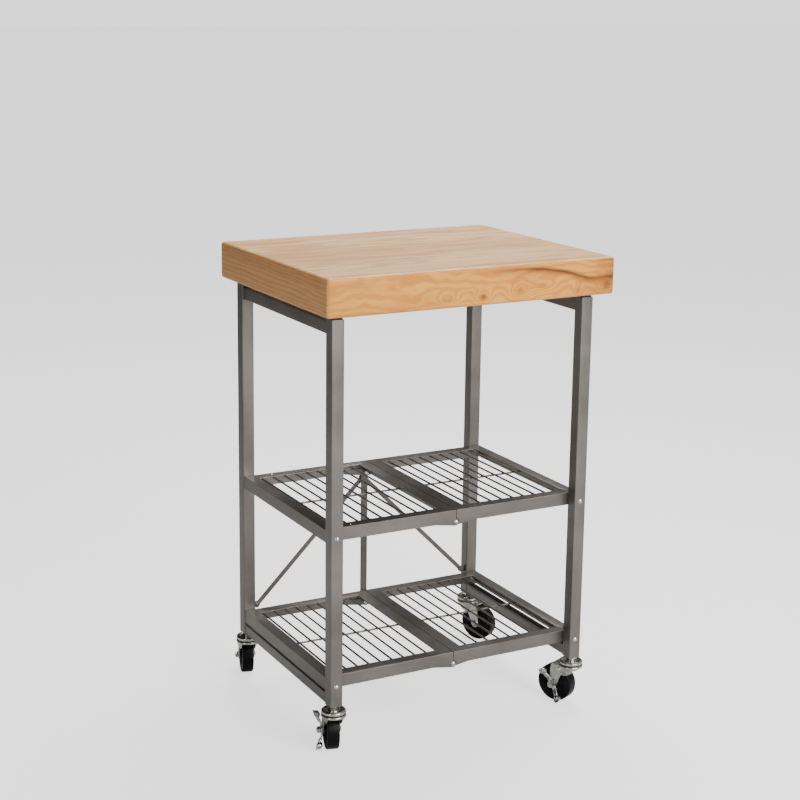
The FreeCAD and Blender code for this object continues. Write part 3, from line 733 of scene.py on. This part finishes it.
# Parallel rods on one cross wire, with a blob of weld where they meet it and the rims
def makeRodGridTree():
    tree, given, out = startGrowth("rodGrid", [
        ("Rods", "NodeSocketInt", 9), ("First Rod", "NodeSocketVector", None),
        ("Pitch", "NodeSocketFloat", 0.025), ("Rod Length", "NodeSocketFloat", 0.37),
        ("Rod Radius", "NodeSocketFloat", 0.002),
        ("Wire Start", "NodeSocketVector", None), ("Wire Length", "NodeSocketFloat", 0.27),
        ("Wire Radius", "NodeSocketFloat", 0.002), ("Bead Radius", "NodeSocketFloat", 0.0025),
        ("Seed", "NodeSocketInt", 0), ("Finish", "NodeSocketMaterial", None)])
    step = vector(tree, given["Pitch"], 0.0, 0.0)
    reach = vector(tree, 0.0, given["Rod Length"], 0.0)
    half = addNode(tree, "ShaderNodeVectorMath", {0: reach}, operation="SCALE")
    half.inputs["Scale"].default_value = 0.5

    def rowOf(shift):
        start = given["First Rod"]
        if shift is not None:
            start = vectorCalc(tree, "ADD", start, shift)
        sockets = {"Count": given["Rods"], "Start Location": start, "Offset": step}
        return addNode(tree, "GeometryNodeMeshLine", sockets).outputs[0]

    def roundBar(start, end, radius):
        line = addNode(tree, "GeometryNodeCurvePrimitiveLine", {"Start": start, "End": end})
        ring = addNode(tree, "GeometryNodeCurvePrimitiveCircle", {
            "Resolution": shelfGrid["barFacets"], "Radius": radius})
        swept = addNode(tree, "GeometryNodeCurveToMesh", {
            "Curve": line.outputs[0], "Profile Curve": ring.outputs[0], "Fill Caps": True})
        return swept.outputs[0]

    rods = repeatAt(tree, rowOf(None), roundBar((0.0, 0.0, 0.0), reach, given["Rod Radius"]))
    wireSpan = vector(tree, given["Wire Length"], 0.0, 0.0)
    wireEnd = vectorCalc(tree, "ADD", given["Wire Start"], wireSpan)
    wire = roundBar(given["Wire Start"], wireEnd, given["Wire Radius"])
    blob = weldBlob(tree, given["Bead Radius"])
    flat = randomSize(tree, *shelfGrid["rimBlobs"], given["Seed"])
    wide = randomSize(tree, *shelfGrid["wireBlobs"], given["Seed"])
    nearBlobs = repeatAt(tree, rowOf(None), blob, flat)
    farBlobs = repeatAt(tree, rowOf(reach), blob, flat)
    wireBlobs = repeatAt(tree, rowOf(half.outputs[0]), blob, wide)
    endGrowth(tree, [rods, wire, nearBlobs, farBlobs, wireBlobs], given["Finish"], out)
    return tree


def makeRodGrids():
    tree = makeRodGridTree()
    for shelf in ("mid", "low"):
        leftBox, rightBox = (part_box("%s_frame_%s" % (shelf, side)) for side in sides)
        fold = (leftBox[1].x + rightBox[0].x) / 2
        for side, way in (("left", -1.0), ("right", 1.0)):
            node = "%s_rods_%s" % (shelf, side)
            low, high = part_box(node)
            rodZ = high.z - shelfGrid["rodRadius"]
            growPiece("rodGrid.%s.%s" % (shelf, side), tree, {
                "Rods": shelfGrid["rods"], "First Rod": (fold + way * shelfGrid["firstRod"], low.y, rodZ),
                "Pitch": way * shelfGrid["pitch"], "Rod Length": high.y - low.y,
                "Rod Radius": shelfGrid["rodRadius"],
                "Wire Start": (low.x, (low.y + high.y) / 2, rodZ - shelfGrid["wireDrop"]),
                "Wire Length": high.x - low.x, "Wire Radius": shelfGrid["wireRadius"],
                "Bead Radius": shelfGrid["beadRadius"], "Seed": shelfGrid["seed"],
                "Finish": finishes["rodSteel"]}, bodyOf(node), [node])


makeRodGrids()
print("rod grids grown")


weldSeams = {
    "spacing": 1.5 * mm,
    "bead": 1.0 * mm,
    "beadSizes": ((0.85, 0.75, 0.85), (1.2, 1.1, 1.2)),
    "seed": 11,
}


# A row of overlapping weld beads along every line of a path
def makeWeldSeamTree():
    tree, given, out = startGrowth("weldSeam", [
        ("Geometry", "NodeSocketGeometry", None), ("Spacing", "NodeSocketFloat", 0.0015),
        ("Bead Radius", "NodeSocketFloat", 0.001), ("Seed", "NodeSocketInt", 0),
        ("Finish", "NodeSocketMaterial", None)])
    line = addNode(tree, "GeometryNodeMeshToCurve", {0: given["Geometry"]})
    sockets = {"Curve": line.outputs[0], "Length": given["Spacing"]}
    even = addNode(tree, "GeometryNodeResampleCurve", sockets, mode="LENGTH")
    blob = weldBlob(tree, given["Bead Radius"])
    sizes = randomSize(tree, *weldSeams["beadSizes"], given["Seed"])
    endGrowth(tree, [repeatAt(tree, even.outputs[0], blob, sizes)], given["Finish"], out)
    return tree


# Closed loops round both ends of each rail, where it meets the legs
def makeWeldSeams():
    tree = makeWeldSeamTree()
    for side in sides:
        corners, edges = [], []
        for rail in ("top_rail_" + side, "low_rail_" + side):
            low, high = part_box(rail)
            for y in (low.y, high.y):
                first = len(corners)
                corners += [(low.x, y, low.z), (high.x, y, low.z), (high.x, y, high.z), (low.x, y, high.z)]
                edges += [(first + i, first + (i + 1) % 4) for i in range(4)]
        path = bpy.data.meshes.new("weldPath")
        path.from_pydata(corners, edges, [])
        growPiece("weldSeam." + side, tree, {
            "Spacing": weldSeams["spacing"], "Bead Radius": weldSeams["bead"], "Seed": weldSeams["seed"],
            "Finish": finishes["pewterSteel"]}, side + "_frame", path=path)


makeWeldSeams()
print("weld seams grown")


rimRivets = {
    "radius": 2.6 * mm,
    "height": 0.5,
    "inFromLeft": 56.5 * mm,
    "inFromFront": 11.5 * mm,
}


# Low round heads on the points of a path
def makeRivetTree():
    tree, given, out = startGrowth("rivetHeads", [
        ("Geometry", "NodeSocketGeometry", None), ("Head Radius", "NodeSocketFloat", 0.003),
        ("Height", "NodeSocketFloat", 0.5), ("Finish", "NodeSocketMaterial", None)])
    ball = addNode(tree, "GeometryNodeMeshUVSphere", {
        "Segments": 20, "Rings": 12, "Radius": given["Head Radius"]})
    low = vector(tree, 1.0, 1.0, given["Height"])
    endGrowth(tree, [repeatAt(tree, given["Geometry"], ball.outputs[0], low)], given["Finish"], out)
    return tree


def makeRimRivets():
    tree = makeRivetTree()
    low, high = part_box("mid_frame_left")
    x, inset = low.x + rimRivets["inFromLeft"], rimRivets["inFromFront"]
    path = bpy.data.meshes.new("rivetPath")
    path.from_pydata([(x, low.y + inset, high.z), (x, high.y - inset, high.z)], [], [])
    growPiece("rimRivets", tree, {
        "Head Radius": rimRivets["radius"], "Height": rimRivets["height"], "Finish": finishes["boltZinc"]},
        "mid_shelf_left", path=path)


makeRimRivets()
print("rim rivets grown")


# A caster's axle middle, the ways its axle and its trail point, and its leg's middle
def casterFrame(place):
    axle = middle("tyre_" + place)
    leg = middle("leg_" + place)
    trail = Vector((axle.x - leg.x, axle.y - leg.y, 0.0)).normalized()
    return axle, Vector((trail.y, -trail.x, 0.0)), trail, leg


def gather(shapes):
    whole = bmesh.new()
    for shape in shapes:
        mesh = bpy.data.meshes.new("gathered")
        shape.to_mesh(mesh)
        shape.free()
        whole.from_mesh(mesh)
        bpy.data.meshes.remove(mesh)
    return whole


wheel = {
    # Outlines in millimetres: along the axle, out from it, and the corner's rounding
    "tyre": ((-11.0, 27.0, 0.5), (-11.5, 30.6, 0.6), (-12.0, 31.4, 0.8), (-12.0, 38.0, 4.0),
             (12.0, 38.0, 4.0), (12.0, 31.4, 0.8), (11.5, 30.6, 0.6), (11.0, 27.0, 0.5)),
    "hub": ((-13.2, 4.1, 0.3), (-13.2, 9.0, 0.8), (-8.6, 9.8, 1.4), (-7.0, 21.0, 2.0), (-10.2, 22.6, 0.8),
            (-10.5, 26.95, 0.4), (10.5, 26.95, 0.4), (10.2, 22.6, 0.8), (7.0, 21.0, 2.0), (8.6, 9.8, 1.4),
            (13.2, 9.0, 0.8), (13.2, 4.1, 0.3)),
    "steps": 96,
}


def makeWheels():
    for place in places:
        axle, across = casterFrame(place)[:2]
        for part, finish, slotName in (
                ("tyre", "tyreRubber", "tyre_rubber"), ("hub", "hubPlastic", "hub_plastic")):
            shape = turned(softOutline(wheel[part]), axle, across, wheel["steps"])
            node = "%s_%s" % (part, place)
            addPiece("%s.%s" % (part, place), shape, bodyOf(node), finish, [node])


makeWheels()
print("wheels turned")


seat = {
    # Outline of the fixed race in millimetres: down from its top, out from the stem, rounding
    "race": ((0.0, 20.6, 1.4), (0.3, 17.4, 0.9), (1.9, 15.4, 0.8), (2.1, 5.2, 0.0), (8.0, 5.2, 0.0),
             (8.0, 21.6, 0.8), (6.6, 23.4, 1.3), (2.2, 23.5, 1.9)),
    "washer": ((-0.1, 5.2, 0.0), (-0.1, 11.5, 0.4), (-1.3, 11.5, 0.4), (-1.3, 5.2, 0.0)),
    "stemRadius": 5.0 * mm,
    "nutAcross": 15.5 * mm,
    "raceUnderLeg": 7.0 * mm,
    "dishDepth": 2.1 * mm,
    "washerTop": 1.3 * mm,
    "nutGap": 0.1 * mm,
    "nutEdge": 0.5 * mm,
    "raceSteps": 96,
    "washerSteps": 48,
    "stemFacets": 40,
    "sharpFrom": math.radians(30),
}


def upright(facets, radius, tall, centre):
    shape = bmesh.new()
    bmesh.ops.create_cone(shape, cap_ends=True, segments=facets, radius1=radius, radius2=radius, depth=tall)
    bmesh.ops.translate(shape, verts=shape.verts, vec=centre)
    return shape


# Plain stem, nut, washer and fixed race under each leg
def makeSeats():
    for side in sides:
        node = "caster_seats_" + side
        low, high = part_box(node)
        shapes = []
        for end in ends:
            leg = middle("leg_%s_%s" % (end, side))
            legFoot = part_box("leg_%s_%s" % (end, side))[0].z
            centre = Vector((leg.x, leg.y, legFoot - seat["raceUnderLeg"]))
            race = softOutline(seat["race"])
            shapes.append(turned(race, centre, (0, 0, -1), seat["raceSteps"]))
            dish = centre - Vector((0, 0, seat["dishDepth"]))
            washer = softOutline(seat["washer"])
            shapes.append(turned(washer, dish, (0, 0, -1), seat["washerSteps"]))
            tall = legFoot - dish.z - seat["washerTop"] - seat["nutGap"]
            spot = (leg.x, leg.y, legFoot - seat["nutGap"] - tall / 2)
            nut = upright(6, seat["nutAcross"] / math.sqrt(3), tall, spot)
            bmesh.ops.bevel(nut, geom=nut.edges[:], offset=seat["nutEdge"], segments=2, profile=0.5,
                            affect="EDGES")
            spot = (leg.x, leg.y, (high.z + low.z) / 2)
            stem = upright(seat["stemFacets"], seat["stemRadius"], high.z - low.z, spot)
            for part in (nut, stem):
                smoothByAngle(part, seat["sharpFrom"])
                shapes.append(part)
        addPiece("casterSeats." + side, gather(shapes), bodyOf(node), "casterZinc", [node])


makeSeats()
print("caster seats made")


shoulder = {
    "topRadius": 23.6 * mm,
    "topUnder": 2.6 * mm,
    "cheek": 15.4 * mm,
    "fall": 22.0 * mm,
    "sideFall": 0.55,
    "middleFall": 0.45,
    "spread": math.radians(56),
    "frontReach": 11.0 * mm,
    "backReach": 30.0 * mm,
    "thick": 1.4 * mm,
    "rows": 10,
    "columns": 24,
}


# The pressed shoulders that join a fork's race to its two cheeks
def makeShoulders(place):
    across, trail, leg = casterFrame(place)[1:]
    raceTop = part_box("fork_" + place)[1].z
    centre = Vector((leg.x, leg.y, raceTop - shoulder["topUnder"]))
    shape = bmesh.new()
    for way in (-1, 1):
        grid = []
        for row in range(shoulder["rows"] + 1):
            t = row / shoulder["rows"]
            ease = t * t * (3 - 2 * t)
            line = []
            for column in range(shoulder["columns"] + 1):
                angle = shoulder["spread"] * (2 * column / shoulder["columns"] - 1)
                u = column / shoulder["columns"]
                foot = -shoulder["frontReach"] * (1 - u) + shoulder["backReach"] * u
                out = shoulder["topRadius"] * math.cos(angle) * (1 - ease) + shoulder["cheek"] * ease
                back = shoulder["topRadius"] * math.sin(angle) * (1 - t) + foot * t
                share = shoulder["sideFall"] + shoulder["middleFall"] * math.sin(math.pi * u)
                drop = shoulder["fall"] * t * share
                point = centre + across * (way * out) + trail * back - Vector((0, 0, drop))
                line.append(shape.verts.new(point))
            grid.append(line)
        for upper, lower in zip(grid, grid[1:]):
            for column in range(shoulder["columns"]):
                corners = [upper[column], upper[column + 1], lower[column + 1], lower[column]]
                shape.faces.new(corners[::-1] if way > 0 else corners)
    for face in shape.faces:
        face.smooth = True
    piece = addPiece("forkShoulder." + place, shape, "swivel_" + place, "casterZinc")
    wall = piece.modifiers.new("plate", "SOLIDIFY")
    wall.thickness = shoulder["thick"]
    wall.offset = -1.0


for place in places:
    makeShoulders(place)
print("fork shoulders made")


pedal = {
    "tilt": math.radians(55),
    "along": 30.0 * mm,
    "outward": 24.6 * mm,
    "bend": math.radians(27),
    "length": 7.4 * mm,
    "width": 7.2 * mm,
    "thick": 6.0 * mm,
    # Ribs along the arms: place, distance out, half length, half width and half thickness
    "rib": (20.0 * mm, 22.5 * mm, 10.0 * mm, 4.6 * mm, 2.8 * mm),
}


# An ellipsoid with its own three axes
def lobe(centre, *axes):
    shape = bmesh.new()
    bmesh.ops.create_uvsphere(shape, u_segments=36, v_segments=18, radius=1.0)
    shape.transform(Matrix.Translation(centre) @ Matrix(axes).transposed().to_4x4())
    smoothByAngle(shape, math.radians(60))
    return shape


# The swollen pads and ribs of a brake lever
def makePedals(place):
    axle, across, trail = casterFrame(place)[:3]
    outward = -across
    lean = pedal["bend"]
    shapes = []
    ribAlong, ribOut, long, wide, thick = pedal["rib"]
    for way in (-1, 1):
        arm = (trail * math.cos(pedal["tilt"]) + Vector((0, 0, math.sin(pedal["tilt"])))) * way
        along = arm * math.cos(lean) + outward * math.sin(lean)
        face = outward * math.cos(lean) - arm * math.sin(lean)
        aside = face.cross(along)
        centre = axle + arm * pedal["along"] + outward * pedal["outward"]
        shapes.append(lobe(centre, along * pedal["length"], aside * pedal["width"], face * pedal["thick"]))
        centre = axle + arm * ribAlong + outward * ribOut
        shapes.append(lobe(centre, along * long, aside * wide, face * thick))
    addPiece("brakePads." + place, gather(shapes), "brake_" + place, "leverZinc")


for place in places[:2]:
    makePedals(place)
print("brake pads made")


# CAD parts that keep their shape
keptParts = {
    "pivot_bolts_": ("boltZinc", sides), "leg_plugs_": ("plugPlastic", sides),
    "top_pads_": ("padRubber", sides), "balls_": ("boltZinc", places), "axle_": ("casterZinc", places),
    "mid_hinge_rivets": ("boltZinc", ("",)), "low_hinge_rivets": ("boltZinc", ("",)),
    "link_stud": ("boltZinc", ("",)),
}
for stem, (finish, tails) in keptParts.items():
    for tail in tails:
        mesh = frame["nodes"][stem + tail].data
        mesh.materials.clear()
        mesh.materials.append(finishes[finish])
print("kept parts finished")


studio = {
    "floorHalf": 60.0,
    "floorColour": (0.55, 0.55, 0.55, 1),
    "floorRoughness": 0.9,
    "floorShine": 1.45,
    "backdropShine": 1.68,
    "worldColour": (0.985, 0.99, 1.0, 1),
    "worldStrength": 0.42,
    "dimShare": 0.06,
    "fadeHalf": 0.7,
    # Each light: place, aim, width, height, power and colour
    "lights": (
        ((0.7, -3.3, 1.9), (0.0, 0.0, 0.55), 2.4, 2.4, 165.0, (1.0, 0.985, 0.96)),
        ((0.9, 0.9, 3.2), (0.0, 0.0, 0.8), 2.2, 1.8, 120.0, (1.0, 0.99, 0.98)),
        ((-3.3, -1.9, 1.5), (0.0, 0.0, 0.5), 0.8, 1.8, 24.0, (0.96, 0.98, 1.0)),
    ),
}


# Adds a plain glow that only the camera sees, so that the floor looks pale but lights nothing
def makeFloorFinish():
    finish, tree, shader = startFinish("paleFloor")[:3]
    shader.inputs["Base Color"].default_value = studio["floorColour"]
    shader.inputs["Roughness"].default_value = studio["floorRoughness"]
    shader.inputs["Emission Color"].default_value = (1, 1, 1, 1)
    seen = addNode(tree, "ShaderNodeLightPath").outputs["Is Camera Ray"]
    tree.links.new(calc(tree, "MULTIPLY", seen, studio["floorShine"]), shader.inputs["Emission Strength"])
    return finish


# A soft surround, dim to the left and behind, with a pale backdrop for the camera
def makeWorld():
    world = bpy.data.worlds.new("studioWorld")
    world.use_nodes = True
    tree = world.node_tree
    backdrop = tree.nodes["Background"]
    backdrop.inputs[0].default_value = studio["worldColour"]
    around = addNode(tree, "ShaderNodeTexCoord").outputs["Generated"]
    way = addNode(tree, "ShaderNodeSeparateXYZ", {0: around})
    side = calc(tree, "SUBTRACT", way.outputs[0], way.outputs[1])
    half = studio["fadeHalf"]
    fade = span(tree, side, -half, half, studio["dimShare"], 1.0, "SMOOTHSTEP")
    lit = calc(tree, "MULTIPLY", fade, studio["worldStrength"])
    seen = addNode(tree, "ShaderNodeLightPath").outputs["Is Camera Ray"]
    strength = addNode(tree, "ShaderNodeMix", {0: seen, 2: lit, 3: studio["backdropShine"]})
    tree.links.new(strength.outputs[0], backdrop.inputs[1])
    bpy.context.scene.world = world


def makeStudio():
    half = studio["floorHalf"]
    mesh = bpy.data.meshes.new("studioFloor")
    corners = [(-half, -half, 0), (half, -half, 0), (half, half, 0), (-half, half, 0)]
    mesh.from_pydata(corners, [], [(0, 1, 2, 3)])
    floor = bpy.data.objects.new("studioFloor", mesh)
    bpy.context.scene.collection.objects.link(floor)
    mesh.materials.append(makeFloorFinish())
    makeWorld()
    for number, (place, aim, width, height, power, colour) in enumerate(studio["lights"]):
        lamp = bpy.data.lights.new("softbox%d" % number, "AREA")
        lamp.shape = "RECTANGLE"
        lamp.size = width
        lamp.size_y = height
        lamp.energy = power
        lamp.color = colour
        box = bpy.data.objects.new(lamp.name, lamp)
        box.location = place
        box.rotation_euler = (Vector(aim) - Vector(place)).to_track_quat("-Z", "Y").to_euler()
        bpy.context.scene.collection.objects.link(box)


# The camera stands in front of the cart, to its left and above it
camera = {
    "place": (-1.56265, -2.81885, 1.4105),
    "azimuth": 27.121,
    "fall": 12.326,
    "roll": 0.417,
    "lens": 74.33,
    "sensor": 36.0,
    "shiftX": 0.0519,
    "shiftY": -0.06,
}


def makeCamera():
    azimuth, fall, roll = (math.radians(camera[name]) for name in ("azimuth", "fall", "roll"))
    level = math.cos(fall)
    ahead = Vector((math.sin(azimuth) * level, math.cos(azimuth) * level, -math.sin(fall)))
    right = Vector((math.cos(azimuth), -math.sin(azimuth), 0.0))
    up = right.cross(ahead)
    turnedRight = right * math.cos(roll) + up * math.sin(roll)
    turnedUp = up * math.cos(roll) - right * math.sin(roll)
    lens = bpy.data.cameras.new("studioCamera")
    lens.lens = camera["lens"]
    lens.sensor_width = camera["sensor"]
    lens.shift_x = camera["shiftX"]
    lens.shift_y = camera["shiftY"]
    holder = bpy.data.objects.new("studioCamera", lens)
    axes = Matrix((turnedRight, turnedUp, -ahead)).transposed().to_4x4()
    holder.matrix_world = Matrix.Translation(camera["place"]) @ axes
    bpy.context.scene.collection.objects.link(holder)
    bpy.context.scene.camera = holder


makeStudio()
makeCamera()
print("studio made")
